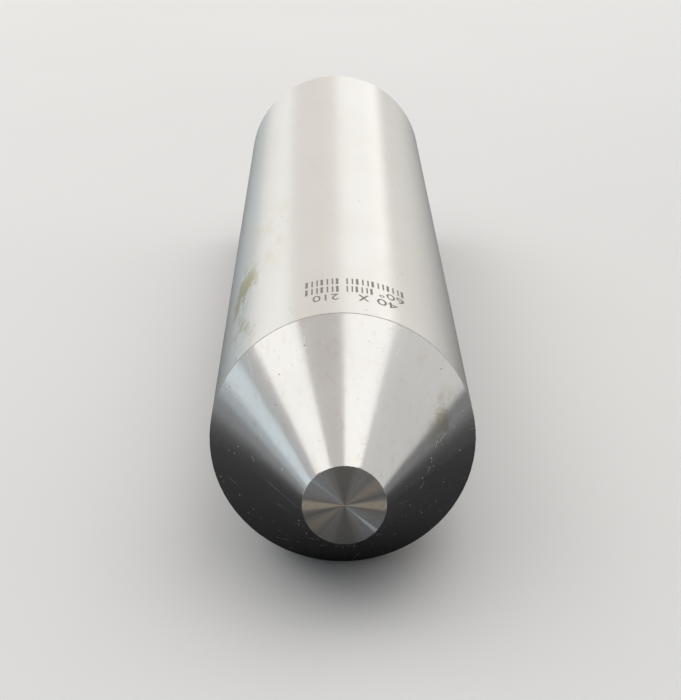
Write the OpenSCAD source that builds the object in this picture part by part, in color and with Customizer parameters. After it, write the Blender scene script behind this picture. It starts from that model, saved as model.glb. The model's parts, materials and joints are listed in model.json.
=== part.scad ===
// Live center with a plain cylindrical shank and a flush, truncated 60 degree nose.
// The nose and its spindle turn in a needle bearing, a thrust ball bearing and a
// deep-groove ball bearing inside the ground housing. A screwed plug closes the rear.
// Frame: the spindle axis is the Y axis and the nose points to -Y. The origin is the
// centre of the housing's rear end face, and the center lies on its side with +Z up.
// Stations along the inside are measured back from the housing's front face.

/* [Shank and nose] */
// Diameter of the shank, and of the nose at its base
shank_d = 40; // [39.5:0.25:44]
// Length of the housing, from its front face to its rear end face
housing_len = 185.5; // [180:0.5:220]
// Included angle of the nose cone
cone_angle = 60; // [50:1:75]
// Diameter of the flat on the front of the nose
nose_flat_d = 12; // [6:0.5:20]
// Width of the running gap between the nose and the housing
seam_gap = 0.25; // [0.15:0.05:0.5]

/* [Bearings] */
// Number of needle rollers in the front bearing
needle_count = 18; // [10:1:20]
// Number of balls in the thrust bearing
thrust_ball_count = 11; // [6:1:12]
// Number of balls in the rear bearing
rear_ball_count = 9; // [6:1:9]
// Station of the rear bearing's front face
rear_bearing_at = 126; // [80:1:128]

/* [Rear plug] */
// Minor diameter of the pull-out thread in the plug
pull_minor_d = 10.1; // [8.5:0.1:12]
// Diameter of the two pin-spanner holes
spanner_hole_d = 4.5; // [3:0.5:5]
// Pitch circle diameter of the spanner holes
spanner_pcd = 24; // [22:1:25]

/* [Hidden] */
$fn = 96;
eps = 0.01;

// Running clearance between a roller, ball or lip and the face that it runs on
play = 0.05;
// Clearance between a roller or ball and its pocket in the cage
pocket_play = 0.12;
// Small edge break on turned edges
edge = 0.12;

// Nose
shank_r = shank_d / 2;
nose_flat_r = nose_flat_d / 2;
nose_land = 0.15;
cone_len = (shank_r - nose_flat_r) / tan(cone_angle / 2);
head_back_z = -housing_len - seam_gap;
nose_z = head_back_z - nose_land - cone_len;

// Labyrinth: a rib on the housing's front face runs in a groove in the back of the nose
rib_in_r = 16.7;
rib_out_r = 17.7;
rib_h = 1.2;
groove_play = 0.35;

// Spindle steps, as radii
seal_land_r = 12.5;
needle_seat_r = 10;
thrust_seat_r = 8.5;
waist_r = 8;
rear_seat_r = 7.5;
thread_root_r = 6.95;
seat_overrun = 2;
waist_taper = 2;
thread_end_len = 0.8;

// Centre hole in the spindle's rear end
centre_hole_r = 1.6;
centre_mouth_r = 3.4;
centre_cone_len = 3;
centre_depth = 6;

// Housing bores, as radii
bearing_bore_r = 16;
relief_bore_r = 15.4;
thrust_bore_r = 15;
land_bore_r = 11;
plug_thread_r = 17;
front_bore_chamfer = 0.6;
rear_chamfer = 1;

// Seal, 25 x 32 x 4
seal_at = 3;
seal_len = 4;
case_t = 0.6;
case_in_r = 13.6;
lip_tip_r = seal_land_r + play;
lip_back_r = seal_land_r + 0.4;

// Front needle bearing, 20 x 32 x 16
needle_at = 8;
needle_w = 16;
needle_inner_r = 12;
needle_r = 1.25;
needle_len = 11;
needle_chamfer = 0.2;
needle_pitch_r = needle_inner_r + play + needle_r;
needle_outer_race_r = needle_pitch_r + needle_r + play;
needle_flange_r = 13;
needle_flange_w = 1.5;
needle_ring_chamfer = 0.3;
needle_cage_in_r = 12.7;
needle_cage_out_r = 13.9;
needle_cage_len = 12.6;
needle_mid = needle_at + needle_w / 2;

// Thrust bearing, 17 x 30 x 9, behind a collar that takes the load from the inner ring
ball_r = 2.381;
groove_r = 2.48;
collar_at = needle_at + needle_w;
collar_w = 3;
collar_r = 13;
thrust_at = collar_at + collar_w;
thrust_h = 9;
thrust_washer_w = 2.9;
shaft_washer_r = 14.8;
housing_washer_in_r = 9;
thrust_pitch_r = 11.9;
thrust_cage_in_r = 9.3;
thrust_cage_out_r = 14.4;
thrust_cage_w = 2.2;
thrust_mid = thrust_at + thrust_h / 2;
thrust_shoulder_at = thrust_at + thrust_h;
relief_end_at = thrust_shoulder_at - thrust_washer_w - 0.1;

// Rear deep-groove bearing, 15 x 32 x 9
rear_w = 9;
rear_pitch_r = 11.75;
rear_inner_r = 10.1;
rear_outer_r = 13.4;
rear_mid = rear_bearing_at + rear_w / 2;
rear_cage_in_r = 10.7;
rear_cage_out_r = 12.8;
rear_cage_w = 6;
rear_web_w = 1.2;
rear_notch = 1.7;
rivet_r = 0.5;
rivet_len = 2;
shield_seat_r = 13.95;
shield_seat_w = 0.8;
shield_in_r = rear_inner_r + 0.25;
shield_t = 0.4;
shield_recess = 0.5;

// Two nested disc springs push the rear bearing's outer ring back
spring_room = 2;
spring_in_r = 12.3;
spring_out_r = 15.7;
spring_t = 0.58;
spring_gap = 0.02;
rear_shoulder_at = rear_bearing_at - spring_room;

// Lock washer and slotted lock nut on the spindle's rear thread
washer_at = rear_bearing_at + rear_w;
washer_t = 1;
washer_r = 10.4;
tooth_count = 11;
tooth_w = 3.2;
tooth_root_r = 9.8;
tooth_tip_r = 13.1;
bent_tooth_r = 10.7;
bent_tooth_t = 0.9;
bent_tooth_h = 4;
key_w = 4;
key_root_r = 5.6;
key_play = 0.1;
nut_at = washer_at + washer_t;
nut_w = 5;
nut_r = 12.5;
nut_face_r = 10.5;
nut_slot_w = 4;
nut_slot_depth = 2;
thread_pitch = 1;
thread_turns = 8;
spindle_end_at = nut_at + thread_turns * thread_pitch;

// Rear plug
plug_recess = 1;
plug_thread_len = 18;
plug_thread_pitch = 1.5;
plug_thread_depth = 0.9;
plug_crest_r = plug_thread_r - 0.03;
plug_neck_len = 6;
plug_neck_r = 15.95;
pull_depth = 16;
pull_countersink = 1.6;
spanner_depth = 6;
plug_back_z = -plug_recess;
plug_step_z = plug_back_z - plug_thread_len;
plug_front_z = plug_step_z - plug_neck_len;
pull_floor_z = plug_back_z - pull_depth;

// O-ring and its groove in the plug's neck
o_ring_root_r = 14.3;
o_ring_groove_w = 2.6;
o_ring_section_r = 1;
o_ring_z = plug_front_z + plug_neck_len / 2;

// Hexagon-socket screw that closes the regreasing hole
grease_r = 3;
grease_len = 6;
grease_turns = 5;
grease_pitch = 1;
grease_hex = 3;
grease_hex_depth = 3;
grease_z = plug_front_z + 0.5;

steel_ground = "#c9cac6";
steel_nose = "#bcbab6";
steel_ring = "#b4b6b8";
steel_ball = "#d6d8da";
steel_dark = "#55585b";
brass = "#b8985a";
polymer = "#3b4a3c";
rubber = "#1d1d1f";

// Place on the Y axis of a station
function at(station) = station - housing_len;

// Turns a shape built round Z so that its axis lies along Y, its top to +Y
module lay_along_y() {
    rotate([-90, 0, 0]) children();
}

// A closed (radius, place on the axis) outline turned round the spindle axis
module turned(outline) {
    lay_along_y() rotate_extrude() polygon(outline);
}

// Copies of a child on a pitch circle round Z
module round_pitch(count, radius, start = 0) {
    for (i = [0 : count - 1])
        rotate([0, 0, start + i * 360 / count]) translate([radius, 0, 0]) children();
}

// Outline points of thread ridges that climb from z0: root, crest and back to root in each turn
function ridges(z0, turns, pitch, crest, root) = [
    for (i = [0 : turns - 1])
        for (p = [[crest, 0.1], [root, 0.45], [root, 0.55], [crest, 0.9]])
            [p[0], z0 + (i + p[1]) * pitch]
];

// Outline of a ring with chamfered corners, between radii r0 and r1 and stations s0 and s1
function ring_outline(r0, r1, s0, s1, c = 0.2) = [
    [r0 + c, at(s0)], [r1 - c, at(s0)], [r1, at(s0) + c], [r1, at(s1) - c],
    [r1 - c, at(s1)], [r0 + c, at(s1)], [r0, at(s1) - c], [r0, at(s0) + c]
];

// A bearing ring or washer with a ball groove of centre (groove_at_r, groove_at_s)
module grooved_ring(r0, r1, s0, s1, groove_at_r, groove_at_s) {
    lay_along_y() rotate_extrude() difference() {
        polygon(ring_outline(r0, r1, s0, s1));
        translate([groove_at_r, at(groove_at_s)]) circle(r = groove_r);
    }
}

// Ground outer body: the bearings go in from both ends, up to the thick land in the middle
module housing() {
    color(steel_ground) turned([
        [shank_r - rear_chamfer, 0],
        [shank_r, -rear_chamfer],
        [shank_r, at(0) + edge],
        [shank_r - edge, at(0)],
        [rib_out_r, at(0)],
        [rib_out_r, at(0) - rib_h],
        [rib_in_r, at(0) - rib_h],
        [rib_in_r, at(0)],
        [bearing_bore_r, at(0) + front_bore_chamfer],
        [bearing_bore_r, at(collar_at)],
        [relief_bore_r, at(collar_at)],
        [relief_bore_r, at(relief_end_at)],
        [thrust_bore_r, at(relief_end_at)],
        [thrust_bore_r, at(thrust_shoulder_at)],
        [land_bore_r, at(thrust_shoulder_at)],
        [land_bore_r, at(rear_shoulder_at)],
        [bearing_bore_r, at(rear_shoulder_at)],
        [bearing_bore_r, plug_step_z],
        [plug_thread_r, plug_step_z],
        [plug_thread_r, -plug_recess / 2],
        [plug_thread_r + plug_recess / 2, 0]
    ]);
}

// Nose and spindle, turned from one piece
module spindle() {
    groove_z = head_back_z - rib_h - groove_play;
    end_z = at(spindle_end_at) + thread_end_len;
    color(steel_nose) difference() {
        turned(concat(
            [
                [0, nose_z],
                [nose_flat_r - edge, nose_z],
                [nose_flat_r, nose_z + edge],
                [shank_r, head_back_z - nose_land],
                [shank_r, head_back_z],
                [rib_out_r + groove_play, head_back_z],
                [rib_out_r + groove_play, groove_z],
                [rib_in_r - groove_play, groove_z],
                [rib_in_r - groove_play, head_back_z],
                [seal_land_r, head_back_z],
                [seal_land_r, at(needle_at)],
                [needle_seat_r, at(needle_at)],
                [needle_seat_r, at(collar_at)],
                [thrust_seat_r, at(collar_at)],
                [thrust_seat_r, at(thrust_shoulder_at) + seat_overrun],
                [waist_r, at(thrust_shoulder_at) + seat_overrun + waist_taper],
                [waist_r, at(rear_bearing_at) - seat_overrun - waist_taper],
                [thrust_seat_r, at(rear_bearing_at) - seat_overrun],
                [thrust_seat_r, at(rear_bearing_at)],
                [rear_seat_r, at(rear_bearing_at)],
                [rear_seat_r, at(nut_at)]
            ],
            ridges(at(nut_at), thread_turns, thread_pitch, rear_seat_r, thread_root_r),
            [
                [rear_seat_r, at(spindle_end_at)],
                [rear_seat_r - thread_end_len, end_z],
                [0, end_z]
            ]
        ));
        // Keyway for the lock washer's inner tab
        translate([key_root_r, at(washer_at) - 0.4, -key_w / 2])
            cube([rear_seat_r, spindle_end_at - washer_at + 2, key_w]);
        // Centre hole in the rear end
        lay_along_y() {
            translate([0, 0, end_z - centre_depth])
                cylinder(r = centre_hole_r, h = centre_depth + 1);
            translate([0, 0, end_z - centre_cone_len])
                cylinder(r1 = centre_hole_r, r2 = centre_mouth_r, h = centre_cone_len + eps);
        }
    }
}

// Steel case of the front seal, an L in section
module seal_case() {
    z0 = at(seal_at);
    z1 = at(seal_at + seal_len);
    color(steel_dark) turned([
        [case_in_r, z0],
        [bearing_bore_r - case_t / 2, z0],
        [bearing_bore_r, z0 + case_t / 2],
        [bearing_bore_r, z1],
        [bearing_bore_r - case_t, z1],
        [bearing_bore_r - case_t, z0 + case_t],
        [case_in_r, z0 + case_t]
    ]);
}

// Rubber of the front seal, with a dust lip in front and a grease lip behind
module seal_lip() {
    z = at(seal_at);
    case_wall_r = bearing_bore_r - case_t;
    color(rubber) turned([
        [case_wall_r, z + case_t],
        [case_wall_r, z + seal_len - 0.2],
        [case_wall_r - 0.6, z + seal_len - 0.2],
        [case_in_r + 0.5, z + 1.8],
        [case_in_r - 0.2, z + 2.2],
        [lip_back_r, z + 3.6],
        [lip_tip_r, z + 3.5],
        [lip_tip_r, z + 3.2],
        [lip_back_r, z + 1.8],
        [lip_back_r, z + 0.9],
        [lip_tip_r, z + 0.2],
        [lip_tip_r + 0.25, z],
        [case_in_r - 0.1, z + case_t]
    ]);
}

// Outer ring with a flange at each end, as a channel in section
module needle_outer_ring() {
    z0 = at(needle_at);
    z1 = at(needle_at + needle_w);
    c = needle_ring_chamfer;
    color(steel_ring) turned([
        [needle_flange_r, z0],
        [bearing_bore_r - c, z0],
        [bearing_bore_r, z0 + c],
        [bearing_bore_r, z1 - c],
        [bearing_bore_r - c, z1],
        [needle_flange_r, z1],
        [needle_flange_r, z1 - needle_flange_w],
        [needle_outer_race_r, z1 - needle_flange_w],
        [needle_outer_race_r, z0 + needle_flange_w],
        [needle_flange_r, z0 + needle_flange_w]
    ]);
}

module needle_inner_ring() {
    color(steel_ring) turned(ring_outline(needle_seat_r, needle_inner_r,
        needle_at, needle_at + needle_w, needle_ring_chamfer));
}

// Window cage: a sleeve with one slot for each roller
module needle_cage() {
    slot_w = 2 * (needle_r + pocket_play);
    slot_len = needle_len + 2 * pocket_play;
    color(polymer) lay_along_y() translate([0, 0, at(needle_mid)]) difference() {
        cylinder(r = needle_cage_out_r, h = needle_cage_len, center = true);
        cylinder(r = needle_cage_in_r, h = needle_cage_len + 1, center = true);
        round_pitch(needle_count, needle_pitch_r)
            cube([4, slot_w, slot_len], center = true);
    }
}

module needle_rollers() {
    end_r = needle_r - needle_chamfer;
    half = needle_len / 2;
    color(steel_ball) lay_along_y() translate([0, 0, at(needle_mid)])
        round_pitch(needle_count, needle_pitch_r) rotate_extrude() polygon([
            [0, -half], [end_r, -half], [needle_r, needle_chamfer - half],
            [needle_r, half - needle_chamfer], [end_r, half], [0, half]
        ]);
}

// Hands the thrust from the needle bearing's inner ring to the thrust bearing
module thrust_collar() {
    color(steel_ground)
        turned(ring_outline(thrust_seat_r, collar_r, collar_at, collar_at + collar_w));
}

module thrust_shaft_washer() {
    color(steel_ring) grooved_ring(thrust_seat_r, shaft_washer_r,
        thrust_at, thrust_at + thrust_washer_w,
        thrust_pitch_r, thrust_mid - ball_r - play + groove_r);
}

module thrust_housing_washer() {
    color(steel_ring) grooved_ring(housing_washer_in_r, thrust_bore_r,
        thrust_shoulder_at - thrust_washer_w, thrust_shoulder_at,
        thrust_pitch_r, thrust_mid + ball_r + play - groove_r);
}

module thrust_cage() {
    color(brass) lay_along_y() translate([0, 0, at(thrust_mid)]) difference() {
        cylinder(r = thrust_cage_out_r, h = thrust_cage_w, center = true);
        cylinder(r = thrust_cage_in_r, h = thrust_cage_w + 1, center = true);
        round_pitch(thrust_ball_count, thrust_pitch_r) sphere(r = ball_r + pocket_play);
    }
}

module thrust_balls() {
    color(steel_ball) lay_along_y() translate([0, 0, at(thrust_mid)])
        round_pitch(thrust_ball_count, thrust_pitch_r) sphere(r = ball_r);
}

module preload_disc_springs() {
    rise = spring_room - 2 * spring_t - 3 * spring_gap;
    for (i = [0 : 1]) {
        z = at(rear_shoulder_at) + spring_gap + i * (spring_t + spring_gap);
        color(steel_dark) turned([
            [spring_in_r, z], [spring_out_r, z + rise],
            [spring_out_r, z + rise + spring_t], [spring_in_r, z + spring_t]
        ]);
    }
}

module rear_inner_ring() {
    color(steel_ring) grooved_ring(rear_seat_r, rear_inner_r,
        rear_bearing_at, rear_bearing_at + rear_w,
        rear_pitch_r - ball_r - play + groove_r, rear_mid);
}

// Outer ring with a step at each side that seats a shield
module rear_outer_ring() {
    color(steel_ring) difference() {
        grooved_ring(rear_outer_r, bearing_bore_r, rear_bearing_at, rear_bearing_at + rear_w,
            rear_pitch_r + ball_r + play - groove_r, rear_mid);
        for (side = [-1, 1])
            lay_along_y() translate([0, 0, at(rear_mid) + side * (rear_w - shield_seat_w) / 2])
                cylinder(r = shield_seat_r, h = shield_seat_w + 2 * eps, center = true);
    }
}

module rear_shields() {
    for (side = [-1, 1])
        color(steel_dark) lay_along_y()
            translate([0, 0, at(rear_mid) + side * (rear_w / 2 - shield_recess)])
                difference() {
                    cylinder(r = shield_seat_r, h = shield_t, center = true);
                    cylinder(r = shield_in_r, h = 2, center = true);
                }
}

// Cage with round pockets, thinned to a riveted web between the balls.
// The pocket spheres have their poles on the radius, clear of the cage walls.
module rear_cage() {
    between = 180 / rear_ball_count;
    color(steel_ring) lay_along_y() translate([0, 0, at(rear_mid)]) difference() {
        union() {
            difference() {
                cylinder(r = rear_cage_out_r, h = rear_cage_w, center = true);
                cylinder(r = rear_cage_in_r, h = rear_cage_w + 1, center = true);
                for (side = [-1, 1])
                    translate([0, 0, side * (rear_web_w + rear_cage_w) / 2])
                        round_pitch(rear_ball_count, rear_pitch_r, between)
                            cube([4, rear_notch, rear_cage_w], center = true);
            }
            round_pitch(rear_ball_count, rear_pitch_r, between)
                cylinder(r = rivet_r, h = rivet_len, center = true);
        }
        round_pitch(rear_ball_count, rear_pitch_r)
            rotate([0, 90, 0]) sphere(r = ball_r + pocket_play);
    }
}

module rear_balls() {
    color(steel_ball) lay_along_y() translate([0, 0, at(rear_mid)])
        round_pitch(rear_ball_count, rear_pitch_r) sphere(r = ball_r);
}

// Toothed washer: its inner tab sits in the keyway and its first tooth is bent into a nut slot
module lock_washer() {
    color(steel_dark) lay_along_y() translate([0, 0, at(washer_at)]) {
        difference() {
            union() {
                cylinder(r = washer_r, h = washer_t);
                for (i = [0 : tooth_count - 1])
                    rotate([0, 0, i * 360 / tooth_count])
                        translate([tooth_root_r, -tooth_w / 2, 0])
                            cube([(i == 0 ? bent_tooth_r + bent_tooth_t : tooth_tip_r) - tooth_root_r,
                                tooth_w, washer_t]);
            }
            translate([0, 0, -1]) cylinder(r = rear_seat_r, h = washer_t + 2);
        }
        // Inner tab
        translate([key_root_r + 2 * key_play, key_play - key_w / 2, 0])
            cube([3, key_w - 2 * key_play, washer_t]);
        // The bent tooth
        translate([bent_tooth_r, -tooth_w / 2, 0])
            cube([bent_tooth_t, tooth_w, bent_tooth_h]);
    }
}

module lock_nut() {
    z0 = at(nut_at);
    z1 = at(nut_at + nut_w);
    color(steel_dark) difference() {
        turned([
            [rear_seat_r + 0.4, z0],
            [nut_face_r, z0],
            [nut_r, z0 + 0.9],
            [nut_r, z1 - 0.3],
            [nut_r - 0.3, z1],
            [rear_seat_r + 0.4, z1],
            [rear_seat_r, z1 - 0.4],
            [rear_seat_r, z0 + 0.4]
        ]);
        lay_along_y() translate([0, 0, (z0 + z1) / 2]) round_pitch(4, nut_r)
            cube([2 * nut_slot_depth, nut_slot_w, nut_w + 1], center = true);
    }
}

// Screwed plug with a pull-out thread, two pin-spanner holes and a regreasing hole
module rear_plug() {
    turns = floor(plug_thread_len / plug_thread_pitch) - 1;
    half_groove = o_ring_groove_w / 2;
    color(steel_ground) difference() {
        turned(concat(
            [
                [0, plug_front_z],
                [plug_neck_r - 0.8, plug_front_z],
                [plug_neck_r, plug_front_z + 0.8],
                [plug_neck_r, o_ring_z - half_groove],
                [o_ring_root_r, o_ring_z - half_groove],
                [o_ring_root_r, o_ring_z + half_groove],
                [plug_neck_r, o_ring_z + half_groove],
                [plug_neck_r, plug_step_z],
                [plug_crest_r, plug_step_z]
            ],
            ridges(plug_step_z + 0.2, turns, plug_thread_pitch,
                plug_crest_r, plug_crest_r - plug_thread_depth),
            [
                [plug_crest_r, plug_back_z - 0.5],
                [plug_crest_r - 0.5, plug_back_z],
                [0, plug_back_z]
            ]
        ));
        lay_along_y() {
            // Pull-out thread with a countersunk mouth
            translate([0, 0, pull_floor_z])
                cylinder(d = pull_minor_d, h = pull_depth + 1);
            translate([0, 0, plug_back_z - pull_countersink])
                cylinder(d1 = pull_minor_d, d2 = pull_minor_d + 2, h = pull_countersink + eps);
            // Regreasing hole
            translate([0, 0, plug_front_z - 1])
                cylinder(r = grease_r, h = pull_floor_z - plug_front_z + 2);
            translate([0, 0, plug_back_z - spanner_depth]) round_pitch(2, spanner_pcd / 2)
                cylinder(d = spanner_hole_d, h = spanner_depth + 1);
        }
    }
}

// Ring of round section, squeezed flat between the plug's groove and the housing
module plug_o_ring() {
    squeezed = bearing_bore_r - o_ring_root_r;
    color(rubber) lay_along_y() rotate_extrude()
        translate([o_ring_root_r + squeezed / 2, o_ring_z]) intersection() {
            circle(r = o_ring_section_r);
            square([squeezed - 2 * eps, 3], center = true);
        }
}

module grease_screw() {
    end_z = grease_z + grease_len;
    color(steel_dark) difference() {
        turned(concat(
            [[0, grease_z], [grease_r - 0.6, grease_z]],
            ridges(grease_z + 0.5, grease_turns, grease_pitch, grease_r, grease_r - 0.45),
            [[grease_r - 0.1, end_z - 0.4], [grease_r - 0.5, end_z], [0, end_z]]
        ));
        lay_along_y() translate([0, 0, end_z - grease_hex_depth])
            cylinder(d = grease_hex / cos(30), h = grease_hex_depth + 1, $fn = 6);
    }
}

housing();
spindle();
seal_case();
seal_lip();
needle_outer_ring();
needle_inner_ring();
needle_cage();
needle_rollers();
thrust_collar();
thrust_shaft_washer();
thrust_cage();
thrust_balls();
thrust_housing_washer();
preload_disc_springs();
rear_outer_ring();
rear_inner_ring();
rear_cage();
rear_balls();
rear_shields();
lock_washer();
lock_nut();
rear_plug();
plug_o_ring();
grease_screw();
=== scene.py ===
"""Looks of a live center: ground and turned steel, a size mark and a rear thread, on a pale floor.

Everything is in metres in the CAD frame: the axis is Y, the nose points to -Y and +Z is up.
"""
import json
import math

import bmesh
import bpy
from mathutils import Matrix, Vector


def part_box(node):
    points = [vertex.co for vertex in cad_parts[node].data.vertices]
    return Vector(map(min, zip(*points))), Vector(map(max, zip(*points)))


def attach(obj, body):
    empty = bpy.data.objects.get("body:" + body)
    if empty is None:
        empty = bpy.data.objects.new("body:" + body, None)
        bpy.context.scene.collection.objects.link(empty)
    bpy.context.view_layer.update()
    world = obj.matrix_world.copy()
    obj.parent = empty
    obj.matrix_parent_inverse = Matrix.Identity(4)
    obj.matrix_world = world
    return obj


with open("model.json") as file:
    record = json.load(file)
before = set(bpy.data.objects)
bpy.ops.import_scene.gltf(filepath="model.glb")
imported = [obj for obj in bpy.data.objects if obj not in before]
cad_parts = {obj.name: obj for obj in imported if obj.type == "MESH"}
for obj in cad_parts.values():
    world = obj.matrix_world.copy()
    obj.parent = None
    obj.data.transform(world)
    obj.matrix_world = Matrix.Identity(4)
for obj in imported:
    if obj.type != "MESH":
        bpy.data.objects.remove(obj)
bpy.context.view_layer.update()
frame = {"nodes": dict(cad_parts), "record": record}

MM = 0.001
SHANK_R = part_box("housing")[1].x
NOSE_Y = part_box("spindle")[0].y
PLUG_REAR_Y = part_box("rear_plug")[1].y
NOSE_FLAT_R = 6 * MM
CONE_SLOPE = math.tan(math.radians(30))
RIM_Y = NOSE_Y + (SHANK_R - NOSE_FLAT_R) / CONE_SLOPE
FLOOR_Z = -SHANK_R - 0.02 * MM

# Dark line painted over the running gap, just behind the rim: painted shade of the gap and the rib
# beside it
SEAM_Y = RIM_Y + 0.28 * MM
SEAM_HALF_WIDTH = 0.26 * MM

# Mark behind the seam, upside down as seen from the nose
MARK_LETTER_H = 2.9 * MM
MARK_PITCH = 4.0 * MM
MARK_FIRST_Y = SEAM_Y + 9.5 * MM
MARK_PROUD = 0.003 * MM
MARK_DEPTH = 0.05 * MM
# Edges of the mark shorter than this are closed up
SLIVER = 0.002 * MM

# Depth of the grain of the smaller pieces
LAPPED = 0.0002 * MM
GROUND = 0.001 * MM
ROUGH = 0.002 * MM

# Grain and wear of the housing, spindle and plug
GRAIN_DEPTH = 0.0022 * MM
SCRATCH_PITCH = 2.6 * MM
SCRATCH_COLOR = (0.85, 0.84, 0.80)

# Thread in the pull-out hole of the rear plug
PULL_R = 5.05 * MM
PULL_CREST_R = 4.72 * MM
PULL_PITCH = 1.75 * MM
PULL_TURNS = 8
PULL_FIRST_Y = PLUG_REAR_Y - 2.2 * MM
PULL_STEPS_PER_TURN = 72
PULL_FADE_STEPS = 30

# Room round the object
STRIP_HEIGHT = 0.87
CEILING_HEIGHT = 0.88
RIGHT_WALL_X = 2.5
LEFT_WALL_X = -3.2
FLOOR_SIZE = 12.0


# ---------------------------------------------------------------- node helpers

class Nodes:
    """A material's node tree with short calls: a number or an output goes to each input."""

    def __init__(self, name):
        self.material = bpy.data.materials.new(name)
        self.material.use_nodes = True
        self.tree = self.material.node_tree
        self.bsdf = self.tree.nodes["Principled BSDF"]

    def put(self, socket, value):
        if isinstance(value, bpy.types.NodeSocket):
            self.tree.links.new(value, socket)
        else:
            socket.default_value = value

    def new(self, kind, **inputs):
        node = self.tree.nodes.new(kind)
        for name, value in inputs.items():
            self.put(node.inputs[name], value)
        return node

    def math(self, operation, a, b=0.0, clamp=False):
        node = self.tree.nodes.new("ShaderNodeMath")
        node.operation = operation
        node.use_clamp = clamp
        self.put(node.inputs[0], a)
        self.put(node.inputs[1], b)
        return node.outputs[0]

    def times(self, first, *others):
        product = first
        for factor in others:
            product = self.math("MULTIPLY", product, factor)
        return product

    def ramp(self, value, low, high, to_low=0.0, to_high=1.0):
        node = self.tree.nodes.new("ShaderNodeMapRange")
        node.interpolation_type = "SMOOTHSTEP"
        for i, v in enumerate((value, low, high, to_low, to_high)):
            self.put(node.inputs[i], v)
        return node.outputs[0]

    def vector(self, x, y, z):
        node = self.tree.nodes.new("ShaderNodeCombineXYZ")
        for i, v in enumerate((x, y, z)):
            self.put(node.inputs[i], v)
        return node.outputs[0]

    def noise(self, vector, scale=1.0, detail=2.0, roughness=0.5):
        node = self.new("ShaderNodeTexNoise", Scale=scale, Detail=detail, Roughness=roughness)
        self.tree.links.new(vector, node.inputs["Vector"])
        return node.outputs[0]

    def mix(self, factor, a, b):
        node = self.tree.nodes.new("ShaderNodeMix")
        node.data_type = "RGBA"
        self.put(node.inputs[0], factor)
        self.put(node.inputs[6], a)
        self.put(node.inputs[7], b)
        return node.outputs[2]

    def position(self):
        node = self.tree.nodes.new("ShaderNodeTexCoord")
        split = self.tree.nodes.new("ShaderNodeSeparateXYZ")
        self.tree.links.new(node.outputs["Object"], split.inputs[0])
        return node.outputs["Object"], split.outputs[0], split.outputs[1], split.outputs[2]

    def vector_math(self, operation, a, b):
        node = self.tree.nodes.new("ShaderNodeVectorMath")
        node.operation = operation
        self.put(node.inputs[0], a)
        self.put(node.inputs[1], b)
        return node

    def distance(self, vector, centre):
        return self.vector_math("DISTANCE", vector, centre).outputs["Value"]

    def bump(self, height, depth, normal=None):
        node = self.new("ShaderNodeBump", Height=height, Strength=1.0, Distance=depth)
        if normal is not None:
            self.tree.links.new(normal, node.inputs["Normal"])
        return node.outputs[0]

    def tangent_round_axis(self):
        node = self.tree.nodes.new("ShaderNodeTangent")
        node.direction_type = "RADIAL"
        node.axis = "Y"
        return node.outputs[0]


def rgb(r, g, b):
    return (r, g, b, 1.0)


# ---------------------------------------------------------------- materials

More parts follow.
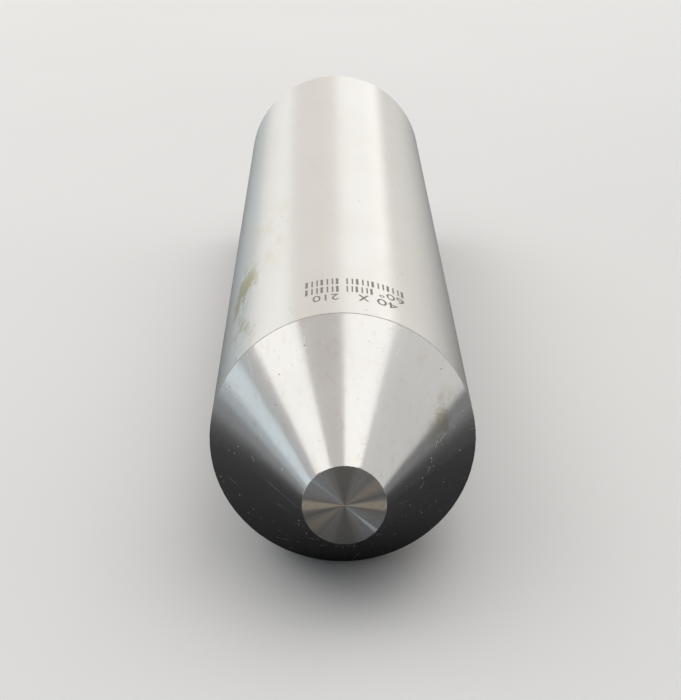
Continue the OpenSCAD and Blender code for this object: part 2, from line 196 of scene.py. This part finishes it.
class Finish:
    """The inputs of one steel surface, changed layer by layer and then joined to the shader."""

    def __init__(self, name, color, rough):
        self.n = Nodes(name)
        self.place, self.x, self.y, self.z = self.n.position()
        n = self.n
        self.radius = n.math("SQRT", n.math("ADD", n.times(self.x, self.x), n.times(self.z, self.z)))
        self.color = rgb(*color)
        self.rough = rough
        self.metal = 1.0

    def stretched(self, across, lengthwise):
        """Object coordinates in cells of 1/across and 1/lengthwise metres."""
        n = self.n
        return n.vector(n.times(self.x, across), n.times(self.y, lengthwise), n.times(self.z, across))

    def tint(self, mask, color, rougher=0.0, metal=None):
        """Changes the colour, and where given the roughness and the metal, where the mask is 1."""
        n = self.n
        self.color = n.mix(mask, self.color, rgb(*color))
        if rougher:
            self.rough = n.math("ADD", self.rough, n.times(mask, rougher))
        if metal is not None:
            drop = n.times(mask, 1.0 - metal)
            self.metal = n.math("SUBTRACT", self.metal, drop, clamp=True)

    def rings(self, pitch, depth):
        """Fine turned or ground lines round the axis, on faces and on outsides alike."""
        n = self.n
        along = n.math("SUBTRACT", self.y, self.radius)
        cells = n.vector(n.times(self.x, 40.0), n.times(along, 1 / pitch), n.times(self.z, 40.0))
        lines = n.noise(cells, 1.0, 3.0, 0.65)
        grain = n.noise(self.place, 2400.0, 2.0, 0.6)
        self.normal = n.bump(lines, depth, n.bump(grain, GRAIN_DEPTH))
        self.rough = n.math("ADD", self.rough, n.ramp(lines, 0.3, 0.7, -0.02, 0.02))

    def clouds(self, dull, amount, rougher):
        """Soft duller patches all over."""
        n = self.n
        soft = n.ramp(n.noise(self.stretched(90.0, 35.0), 1.0, 4.0, 0.6), 0.38, 0.72)
        self.tint(n.times(soft, amount), dull, rougher)

    def streaks(self, color, amount):
        """Faint lengthwise wipe marks."""
        n = self.n
        wiped = n.ramp(n.noise(self.stretched(900.0, 45.0), 1.0, 3.0, 0.6), 0.52, 0.74)
        self.tint(n.times(wiped, amount), color)

    def stain(self, centre, across, lengthwise, color, amount):
        """An old oil stain in lengthwise patches, reaching that far from its centre."""
        n = self.n
        middle = (centre[0] / across, centre[1] / lengthwise, centre[2] / across)
        near = n.ramp(n.distance(self.stretched(1 / across, 1 / lengthwise), middle), 1.0, 0.3)
        patches = n.ramp(n.noise(self.stretched(230.0, 60.0), 1.0, 5.0, 0.68), 0.46, 0.62)
        self.tint(n.times(near, patches, amount), color, 0.10)

    def dust(self, amount, commonness=0.0):
        """Pale specks that sit on the metal and a few dark pits in it."""
        n = self.n
        low = 0.835 - commonness
        specks = n.ramp(n.noise(self.place, 2600.0, 0.0, 0.0), low, low + 0.03)
        self.tint(n.times(specks, amount), (0.75, 0.73, 0.68), 0.2, 0.1)
        moved = n.vector(n.math("ADD", self.x, 0.5), self.y, self.z)
        pits = n.ramp(n.noise(moved, 1700.0, 0.0, 0.0), 0.89, 0.905)
        self.tint(n.times(pits, 0.8), (0.07, 0.06, 0.05), 0.2)

    def scratches(self, amount, lean_deg):
        """Sparse straight hairlines: short stretches of parallel lines that lean off the axis."""
        n = self.n
        lean = math.radians(lean_deg)
        around = n.times(n.math("ARCTAN2", self.x, self.z), SHANK_R)
        sideways = n.math("ADD", n.times(around, math.cos(lean)), n.times(self.y, math.sin(lean)))
        rows = n.times(sideways, 1 / SCRATCH_PITCH)
        row = n.math("FLOOR", rows)
        stretches = n.noise(n.vector(n.times(row, 7.3), n.times(self.y, 70.0), 0.0), 1.0, 1.0, 0.5)
        shown = n.ramp(stretches, 0.60, 0.66)
        place_in_row = n.noise(n.vector(n.times(row, 3.1), n.times(self.y, 9.0), 4.0))
        away = n.math("ABSOLUTE", n.math("SUBTRACT", n.math("FRACT", rows), place_in_row))
        line = n.ramp(away, 0.028, 0.010)
        self.tint(n.times(line, shown, amount), SCRATCH_COLOR, 0.15, 0.4)

    def hairline(self, first, last, half_width, amount):
        """One straight scratch between two points, broken in places."""
        n = self.n
        half_length = (last - first).length / 2
        from_middle = n.vector_math("SUBTRACT", self.place, (first + last) / 2).outputs["Vector"]
        along = (last - first).normalized()
        lengthwise = n.vector_math("DOT_PRODUCT", from_middle, along).outputs["Value"]
        sideways = n.vector_math("CROSS_PRODUCT", from_middle, along).outputs["Vector"]
        line = n.ramp(n.distance(sideways, (0, 0, 0)), half_width, half_width * 0.3)
        inside = n.ramp(n.math("ABSOLUTE", lengthwise), half_length, half_length - 0.4 * MM)
        broken = n.ramp(n.noise(self.place, 900.0, 1.0, 0.5), 0.36, 0.5)
        self.tint(n.times(line, inside, broken, amount), SCRATCH_COLOR, 0.15, 0.3)

    def spot(self, centre, reach, color):
        """One pit, reaching that far from its centre."""
        n = self.n
        self.tint(n.ramp(n.distance(self.place, centre), reach, reach * 0.4), color, 0.2)

    def seam_shade_line(self):
        """A dark brown line painted round the part over the running gap: painted shade of the gap and
        the rib beside it.
        """
        n = self.n
        off = n.math("ABSOLUTE", n.math("SUBTRACT", self.y, SEAM_Y))
        self.tint(n.ramp(off, SEAM_HALF_WIDTH, SEAM_HALF_WIDTH * 0.4), (0.17, 0.13, 0.11), 0.2)

    def finish(self, anisotropy):
        """Joins the layers to the shader, with highlights stretched along the axis."""
        n = self.n
        n.put(n.bsdf.inputs["Base Color"], self.color)
        n.put(n.bsdf.inputs["Roughness"], self.rough)
        n.put(n.bsdf.inputs["Metallic"], self.metal)
        n.bsdf.inputs["Anisotropic"].default_value = anisotropy
        n.bsdf.inputs["Anisotropic Rotation"].default_value = 0.25
        n.put(n.bsdf.inputs["Tangent"], n.tangent_round_axis())
        n.put(n.bsdf.inputs["Normal"], self.normal)
        return n.material


def ground_steel():
    """The housing: cylindrically ground, satin, with old oil on one side."""
    f = Finish("ground_steel", (0.67, 0.66, 0.63), 0.36)
    f.rings(0.10 * MM, 0.0012 * MM)
    f.clouds((0.60, 0.58, 0.54), 0.3, 0.04)
    f.streaks((0.70, 0.67, 0.58), 0.35)
    f.scratches(0.45, 12)
    f.dust(0.6)
    olive = (0.36, 0.33, 0.18)
    yellow = (0.55, 0.52, 0.36)
    tan = (0.45, 0.43, 0.30)
    f.stain((-16 * MM, SEAM_Y + 9 * MM, 12 * MM), 6 * MM, 14 * MM, olive, 0.9)
    f.stain((-16 * MM, SEAM_Y + 34 * MM, 12 * MM), 5 * MM, 24 * MM, olive, 0.85)
    f.stain((-13 * MM, SEAM_Y + 60 * MM, 15 * MM), 7 * MM, 40 * MM, yellow, 0.45)
    f.stain((18 * MM, SEAM_Y + 6 * MM, 9 * MM), 6 * MM, 12 * MM, tan, 0.5)
    f.seam_shade_line()
    return f.finish(0.55)


def on_cone(radius_mm, angle_deg):
    """The point of the cone at that radius, and at that angle from the top towards +X."""
    radius = radius_mm * MM
    angle = math.radians(angle_deg)
    y = NOSE_Y + (radius - NOSE_FLAT_R) / CONE_SLOPE
    return Vector((radius * math.sin(angle), y, radius * math.cos(angle)))


def nose_steel():
    """The spindle: a finely ground cone, and a faced flat with a fan of light and dark sectors, most
    of them painted reflections.
    """
    f = Finish("nose_steel", (0.65, 0.64, 0.62), 0.22)
    f.rings(0.07 * MM, 0.0009 * MM)
    f.clouds((0.58, 0.565, 0.55), 0.4, 0.03)
    f.streaks((0.60, 0.54, 0.46), 0.45)
    f.scratches(0.35, -15)
    # both ends of each hairline: a radius in mm, and an angle in degrees from the top
    hairlines = (((16.7, 61), (15.3, 68)), ((15.0, 70), (13.4, 78)), ((13.0, 81), (12.0, 89)),
                 ((11.7, 92), (10.6, 100)), ((15.9, 74), (14.2, 76)), ((13.6, -80.5), (12.7, -83.5)))
    for start, end in hairlines:
        f.hairline(on_cone(*start), on_cone(*end), 0.09 * MM, 0.5)
    f.spot(on_cone(16.0, -35.5), 0.16 * MM, (0.10, 0.09, 0.08))
    f.dust(0.8, 0.003)
    f.stain((15.0 * MM, RIM_Y - 6.5 * MM, 6.2 * MM), 4.5 * MM, 9 * MM, (0.34, 0.30, 0.20), 0.62)
    f.stain((13 * MM, RIM_Y - 13 * MM, 2 * MM), 5 * MM, 9 * MM, (0.40, 0.37, 0.26), 0.6)
    f.seam_shade_line()
    fan(f)
    return f.finish(0.6)


def fan(f):
    """Sectors on the flat that repeat after half a turn: random sectors and fine lines of grain as on
    a face ground while it turned, and painted reflections of lamps and windows as light, dark and
    bluish sectors on a base painted darker as a dark reflection.
    """
    n = f.n
    on_flat = n.times(n.ramp(f.y, NOSE_Y + 0.03 * MM, NOSE_Y + 0.01 * MM),
                      n.ramp(f.radius, NOSE_FLAT_R + 0.02 * MM, NOSE_FLAT_R - 0.02 * MM))
    # the cosine and sine of twice the angle, with a trifle added so that the centre is defined
    square = n.math("ADD", n.times(f.radius, f.radius), 1e-12)
    double_cos = n.math("DIVIDE", n.math("SUBTRACT", n.times(f.x, f.x), n.times(f.z, f.z)), square)
    double_sin = n.math("DIVIDE", n.times(f.x, f.z, 2.0), square)
    sectors = n.noise(n.vector(double_cos, double_sin, 0.0), 3.2, 3.0, 0.6)
    lines = n.noise(n.vector(double_cos, double_sin, n.times(f.radius, 90.0)), 16.0, 3.0, 0.7)

    # the whole flat painted darker as a painted dark reflection, then lighter random sectors of faced
    # grain
    f.tint(on_flat, (0.27, 0.27, 0.265), 0.12)
    f.tint(n.times(on_flat, n.ramp(sectors, 0.40, 0.62, 0.0, 0.45)), (0.36, 0.35, 0.34))
    # painted reflections of lamps and windows: middle of the sector in degrees from +X towards +Z,
    # half width in degrees, colour, strength
    painted_reflections = ((90, 24, (0.17, 0.17, 0.16), 0.7),
             (-42, 28, (0.40, 0.42, 0.46), 0.6),
             (0, 11, (0.68, 0.60, 0.48), 0.75),
             (34, 12, (0.44, 0.38, 0.30), 0.6),
             (17, 5, (0.17, 0.16, 0.15), 0.5))
    for middle, half_width, color, strength in painted_reflections:
        mask = sector(n, double_cos, double_sin, middle, half_width, strength)
        f.tint(n.times(on_flat, mask), color)
    # a painted bluish glint of a window along one sector, stronger on the right
    painted_glint = sector(n, double_cos, double_sin, -41, 4, 0.8)
    right_side = n.ramp(f.x, 0.0, 3 * MM, 0.25, 1.0)
    f.tint(n.times(on_flat, painted_glint, right_side), (0.85, 0.92, 1.0))
    f.tint(n.times(on_flat, n.ramp(lines, 0.42, 0.75, 0.0, 0.4)), (0.18, 0.175, 0.17))
    centre_pip = n.ramp(f.radius, 0.16 * MM, 0.10 * MM)
    f.tint(centre_pip, (0.35, 0.34, 0.32))


def sector(n, double_cos, double_sin, middle, half_width, strength):
    """Mask of two opposite sectors of the flat, from the cosine and sine of twice the angle."""
    turn = math.radians(2 * middle)
    towards = n.math("ADD", n.times(double_cos, math.cos(turn)), n.times(double_sin, math.sin(turn)))
    return n.ramp(towards, math.cos(math.radians(2 * half_width)), 1.0, 0.0, strength)


def plug_steel():
    """The rear plug: turned, with coarser rings than the ground pieces."""
    f = Finish("plug_steel", (0.58, 0.58, 0.57), 0.33)
    f.rings(0.16 * MM, 0.003 * MM)
    f.clouds((0.45, 0.45, 0.44), 0.6, 0.05)
    f.dust(0.8)
    return f.finish(0.6)


def laser_mark():
    """Burnt steel, brown and rough."""
    n = Nodes("laser_mark")
    place, *_ = n.position()
    burnt = n.noise(place, 5000.0, 2.0, 0.6)
    n.put(n.bsdf.inputs["Base Color"], n.mix(burnt, rgb(0.16, 0.145, 0.12), rgb(0.27, 0.25, 0.21)))
    n.put(n.bsdf.inputs["Roughness"], n.ramp(burnt, 0.3, 0.7, 0.55, 0.75))
    n.bsdf.inputs["Metallic"].default_value = 0.3
    n.put(n.bsdf.inputs["Normal"], n.bump(burnt, 0.001 * MM))
    return n.material


def plain_metal(name, color, dull, rough, depth=GROUND):
    """A metal with duller clouds and a fine grain of that depth."""
    n = Nodes(name)
    place, *_ = n.position()
    clouds = n.noise(place, 180.0, 3.0, 0.6)
    grain = n.noise(place, 6000.0, 2.0, 0.6)
    n.put(n.bsdf.inputs["Base Color"], n.mix(n.ramp(clouds, 0.35, 0.7), rgb(*color), rgb(*dull)))
    n.put(n.bsdf.inputs["Roughness"], n.ramp(clouds, 0.3, 0.7, rough * 0.8, rough * 1.25))
    n.bsdf.inputs["Metallic"].default_value = 1.0
    n.put(n.bsdf.inputs["Normal"], n.bump(grain, depth))
    return n.material


def plain_soft(name, color, light, rough):
    """Rubber or moulded plastic with lighter clouds and a fine grain."""
    n = Nodes(name)
    place, *_ = n.position()
    clouds = n.noise(place, 400.0, 3.0, 0.6)
    grain = n.noise(place, 9000.0, 2.0, 0.6)
    n.put(n.bsdf.inputs["Base Color"], n.mix(n.ramp(clouds, 0.3, 0.75), rgb(*color), rgb(*light)))
    n.put(n.bsdf.inputs["Roughness"], n.ramp(clouds, 0.3, 0.7, rough * 0.9, rough * 1.1))
    n.put(n.bsdf.inputs["Normal"], n.bump(grain, 0.004 * MM))
    return n.material


MATERIALS = {
    "ground_steel": ground_steel(),
    "nose_steel": nose_steel(),
    "plug_steel": plug_steel(),
    "bearing_steel": plain_metal("bearing_steel", (0.60, 0.61, 0.62), (0.52, 0.53, 0.54), 0.22),
    "ball_steel": plain_metal("ball_steel", (0.72, 0.73, 0.74), (0.68, 0.69, 0.70), 0.06, LAPPED),
    "dark_steel": plain_metal("dark_steel", (0.33, 0.34, 0.35), (0.24, 0.25, 0.26), 0.4, ROUGH),
    "black_steel": plain_metal("black_steel", (0.06, 0.06, 0.065), (0.035, 0.035, 0.04), 0.42, ROUGH),
    "cage_brass": plain_metal("cage_brass", (0.72, 0.55, 0.28), (0.60, 0.44, 0.22), 0.3, ROUGH),
    "cage_polymer": plain_soft("cage_polymer", (0.10, 0.14, 0.10), (0.14, 0.18, 0.13), 0.5),
    "seal_rubber": plain_soft("seal_rubber", (0.025, 0.025, 0.027), (0.04, 0.04, 0.042), 0.7),
}


def finish_cad_nodes():
    """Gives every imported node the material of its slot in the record."""
    for part in frame["record"]["subparts"]:
        node = frame["nodes"][part["node"]]
        node.data.materials.clear()
        node.data.materials.append(MATERIALS[part["material_slot"]])


# ---------------------------------------------------------------- pieces that the CAD leaves out

def add_piece(name, bm, material):
    """A new object on the housing from bm, which it uses up."""
    mesh = bpy.data.meshes.new(name)
    bmesh.ops.recalc_face_normals(bm, faces=bm.faces)
    bm.to_mesh(mesh)
    bm.free()
    mesh.materials.append(material)
    piece = bpy.data.objects.new(name, mesh)
    bpy.context.scene.collection.objects.link(piece)
    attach(piece, "housing")
    return piece


def text_faces(bm, text, width):
    """Adds the flat faces of a short text to bm, width wide, from u = 0 and v = 0."""
    curve = bpy.data.curves.new("digits", "FONT")
    curve.body = text
    writer = bpy.data.objects.new("digits", curve)
    bpy.context.scene.collection.objects.link(writer)
    bpy.context.view_layer.update()
    evaluated = writer.evaluated_get(bpy.context.evaluated_depsgraph_get())
    mesh = bpy.data.meshes.new_from_object(evaluated)
    bpy.data.objects.remove(writer)
    bpy.data.curves.remove(curve)
    first = min(v.co.x for v in mesh.vertices)
    last = max(v.co.x for v in mesh.vertices)
    low = min(v.co.y for v in mesh.vertices)
    high = max(v.co.y for v in mesh.vertices)
    for v in mesh.vertices:
        v.co.x = (v.co.x - first) / (last - first) * width
        v.co.y = (v.co.y - low) / (high - low) * MARK_LETTER_H
    bm.from_mesh(mesh)
    bpy.data.meshes.remove(mesh)


def bar_faces(bm, count, width):
    """Adds a row of plain upright bars to bm, width wide in all, with every third one thick."""
    thin = 0.3
    thick = 0.5
    pitch = width / (count - thick)
    for i in range(count):
        left = i * pitch
        right = left + pitch * (thin if i % 3 else thick)
        corners = [(left, 0), (right, 0), (right, MARK_LETTER_H), (left, MARK_LETTER_H)]
        bm.faces.new([bm.verts.new((u, v, 0)) for u, v in corners])


def wrap_on_housing(flat, start_deg, y):
    """Bends flat faces round the housing and gives them a depth.

    u runs back from start_deg, measured from the top, and v runs towards the nose from y.
    """
    end = max(v.co.x for v in flat.verts)
    step = 0.25 * MM
    for i in range(1, int(end / step) + 1):
        bmesh.ops.bisect_plane(flat, geom=flat.verts[:] + flat.edges[:] + flat.faces[:], dist=1e-8,
                               plane_co=(i * step, 0, 0), plane_no=(1, 0, 0))
    bmesh.ops.remove_doubles(flat, verts=flat.verts[:], dist=SLIVER)
    bmesh.ops.dissolve_degenerate(flat, edges=flat.edges[:], dist=SLIVER)
    raised = bmesh.ops.extrude_face_region(flat, geom=flat.faces[:], use_keep_orig=True)
    top = {g for g in raised["geom"] if isinstance(g, bmesh.types.BMVert)}
    for vert in flat.verts:
        angle = math.radians(start_deg) - vert.co.x / SHANK_R
        reach = SHANK_R + MARK_PROUD if vert in top else SHANK_R - MARK_DEPTH
        vert.co = Vector((reach * math.sin(angle), y - vert.co.y, reach * math.cos(angle)))


def size_mark():
    """Three rows: the diameter and the length, the cone's angle and plain bars, and only bars.

    No stroke crosses the top line, where it would stand out of the housing's box.
    """
    material = laser_mark()
    # name, row, start in degrees from the top, width in mm, text or count of bars
    parts = (("size_mark_dia", 0, 25.0, 3.4, "40"), ("size_mark_x", 0, 11.6, 1.6, "x"),
             ("size_mark_length", 0, -1.5, 4.0, "210"),
             ("size_mark_angle", 1, 28.5, 4.2, "60°"), ("size_mark_bars", 1, 13.6, 4.2, 6),
             ("size_mark_bars_end", 1, -1.5, 5.2, 7),
             ("size_mark_row", 2, 28.5, 9.4, 12), ("size_mark_row_end", 2, -1.5, 5.2, 7))
    for name, row, start_deg, width, content in parts:
        flat = bmesh.new()
        if isinstance(content, str):
            text_faces(flat, content, width * MM)
        else:
            bar_faces(flat, content, width * MM)
        wrap_on_housing(flat, start_deg, MARK_FIRST_Y + row * MARK_PITCH)
        add_piece(name, flat, material)


def pull_thread():
    """The helical thread in the pull-out hole: a ridge on the hole's wall, fading in and out."""
    bm = bmesh.new()
    foot_r = PULL_R + 0.1 * MM
    count = PULL_TURNS * PULL_STEPS_PER_TURN
    rows = []
    for i in range(count + 1):
        turns = i / PULL_STEPS_PER_TURN
        angle = 2 * math.pi * turns
        fade = min(1.0, i / PULL_FADE_STEPS, (count - i) / PULL_FADE_STEPS)
        crest = PULL_R - (PULL_R - PULL_CREST_R) * fade
        # radius, and distance from the ridge's middle in pitches
        profile = ((foot_r, -0.46), (PULL_R, -0.42), (crest, -0.10),
                   (crest, 0.10), (PULL_R, 0.42), (foot_r, 0.46))
        row = []
        for radius, pitches in profile:
            y = PULL_FIRST_Y + PULL_PITCH * (pitches - turns)
            row.append(bm.verts.new((radius * math.cos(angle), y, radius * math.sin(angle))))
        rows.append(row)
    for near, far in zip(rows, rows[1:]):
        for k in range(len(near)):
            following = (k + 1) % len(near)
            bm.faces.new((near[k], near[following], far[following], far[k]))
    bm.faces.new(rows[0])
    bm.faces.new(list(reversed(rows[-1])))
    thread = add_piece("pull_thread", bm, MATERIALS["plug_steel"])
    for face in thread.data.polygons:
        face.use_smooth = len(face.vertices) == 4
    thread.data.set_sharp_from_angle(angle=math.radians(25))


# ---------------------------------------------------------------- floor, light, camera

def floor():
    """A pale floor whose colour in reflections is painted darker: most round the nose, and less
    farther off.
    """
    bpy.ops.mesh.primitive_plane_add(size=FLOOR_SIZE, location=(0, 0, FLOOR_Z))
    plane = bpy.context.object
    plane.name = "floor"
    n = Nodes("floor")
    place, _, y, _ = n.position()
    clouds = n.noise(place, 3.0, 3.0, 0.5)
    pale = n.mix(n.ramp(clouds, 0.3, 0.7), rgb(0.74, 0.735, 0.725), rgb(0.77, 0.765, 0.755))
    path = n.tree.nodes.new("ShaderNodeLightPath")
    far = n.ramp(n.distance(place, (0, NOSE_Y - 40 * MM, 0)), 80 * MM, 280 * MM)
    ahead = n.ramp(y, NOSE_Y - 20 * MM, NOSE_Y - 55 * MM)
    # painted dark reflection of the floor, darkest round the nose and lighter ahead of it
    painted_reflection_tone = n.mix(far, rgb(0.042, 0.042, 0.046), rgb(0.27, 0.28, 0.295))
    painted_reflection_tone = n.mix(ahead, painted_reflection_tone, rgb(0.58, 0.57, 0.55))
    n.put(n.bsdf.inputs["Base Color"], n.mix(path.outputs["Is Glossy Ray"], pale, painted_reflection_tone))
    n.bsdf.inputs["Roughness"].default_value = 0.8
    n.bsdf.inputs["Specular IOR Level"].default_value = 0.1
    plane.data.materials.append(n.material)


def softbox(name, x_from, x_to, height, color, radiance, slope_deg=17.0, y_from=-1.6, y_to=2.2):
    """A long area light over the object, level across and sloping down to the rear.

    It spans x_from to x_to and y_from to y_to, and height is its height above the axis at y = 0.
    """
    slope = math.radians(slope_deg)
    length = (y_to - y_from) / math.cos(slope)
    middle_y = (y_from + y_to) / 2
    middle = Vector(((x_from + x_to) / 2, middle_y, height - middle_y * math.tan(slope)))
    along = Vector((0, math.cos(slope), -math.sin(slope)))
    across = Vector((1, 0, 0))
    area_light(name, middle, across, along, x_to - x_from, length, color, radiance)


def side_wall(name, x, z_from, z_to, color, radiance, y_from=-3.2, y_to=5.2):
    """An upright area light beside the object, parallel to its axis and facing it."""
    middle = Vector((x, (y_from + y_to) / 2, (z_from + z_to) / 2))
    upward = Vector((0, 0, -1 if x > 0 else 1))
    area_light(name, middle, upward, Vector((0, 1, 0)), z_to - z_from, y_to - y_from, color, radiance)


def area_light(name, middle, across, along, width, length, color, radiance):
    """A rectangular light that faces away from across x along, with the same radiance all over."""
    light = bpy.data.lights.new(name, "AREA")
    light.shape = "RECTANGLE"
    light.size = width
    light.size_y = length
    light.color = color
    light.energy = radiance * math.pi * width * length
    lamp = bpy.data.objects.new(name, light)
    bpy.context.scene.collection.objects.link(lamp)
    turn = Matrix((across, along, across.cross(along))).transposed()
    lamp.matrix_world = Matrix.Translation(middle) @ turn.to_4x4()
    lamp.visible_camera = False


def lights():
    """Two bright strips, a dimmer ceiling between them, two walls, and blue windows on the left."""
    white = (1.0, 0.985, 0.955)
    warm = (1.0, 0.93, 0.86)
    beige = (1.0, 0.96, 0.90)
    blue = (0.80, 0.93, 1.0)
    softbox("strip_right", 0.01, 0.55, STRIP_HEIGHT, white, 1.23, y_to=0.6)
    softbox("strip_right_rear", 0.01, 0.45, STRIP_HEIGHT, white, 1.19, y_from=0.6)
    softbox("ceiling", -0.405, 0.01, CEILING_HEIGHT, warm, 0.54, y_to=0.5)
    softbox("ceiling_rear", -0.405, 0.01, CEILING_HEIGHT, warm, 0.85, y_from=0.5)
    softbox("strip_left", -1.16, -0.42, STRIP_HEIGHT, white, 1.20)
    side_wall("wall_right", RIGHT_WALL_X, 0.12, 3.8, white, 0.56, y_to=1.0)
    side_wall("wall_right_rear", RIGHT_WALL_X, 0.10, 3.8, beige, 0.80, y_from=1.0, y_to=10.0)
    side_wall("wall_left", LEFT_WALL_X, 1.4, 2.4, white, 0.40, y_to=1.6)
    side_wall("wall_left_rear", LEFT_WALL_X, 1.4, 2.4, white, 0.50, y_from=1.6)
    side_wall("window_left", LEFT_WALL_X, 0.48, 1.32, blue, 0.80)
    side_wall("window_left_low", LEFT_WALL_X, 0.0, 0.48, blue, 0.36, y_to=2.0)
    side_wall("window_left_rear", LEFT_WALL_X, 0.0, 0.48, blue, 0.95, y_from=2.0, y_to=7.0)
    world = bpy.data.worlds.new("studio")
    bpy.context.scene.world = world
    world.use_nodes = True
    background = world.node_tree.nodes["Background"]
    background.inputs["Color"].default_value = rgb(0.9, 0.93, 1.0)
    background.inputs["Strength"].default_value = 0.25


def camera():
    """From in front of the nose and 19 degrees above the axis."""
    aim = Vector((-0.3 * MM, RIM_Y + 4.4 * MM, 12.8 * MM))
    azimuth = math.radians(0.48)
    elevation = math.radians(19.04)
    distance = 282.2 * MM
    forward = Vector((math.sin(azimuth) * math.cos(elevation),
                      math.cos(azimuth) * math.cos(elevation),
                      -math.sin(elevation)))
    data = bpy.data.cameras.new("camera")
    data.lens = 96.67
    data.sensor_width = 36.0
    data.clip_start = 0.01
    eye = bpy.data.objects.new("camera", data)
    bpy.context.scene.collection.objects.link(eye)
    eye.location = aim - forward * distance
    eye.rotation_euler = forward.to_track_quat("-Z", "Y").to_euler()
    bpy.context.scene.camera = eye


finish_cad_nodes()
size_mark()
pull_thread()
floor()
lights()
camera()
bpy.context.scene.view_settings.view_transform = "Standard"
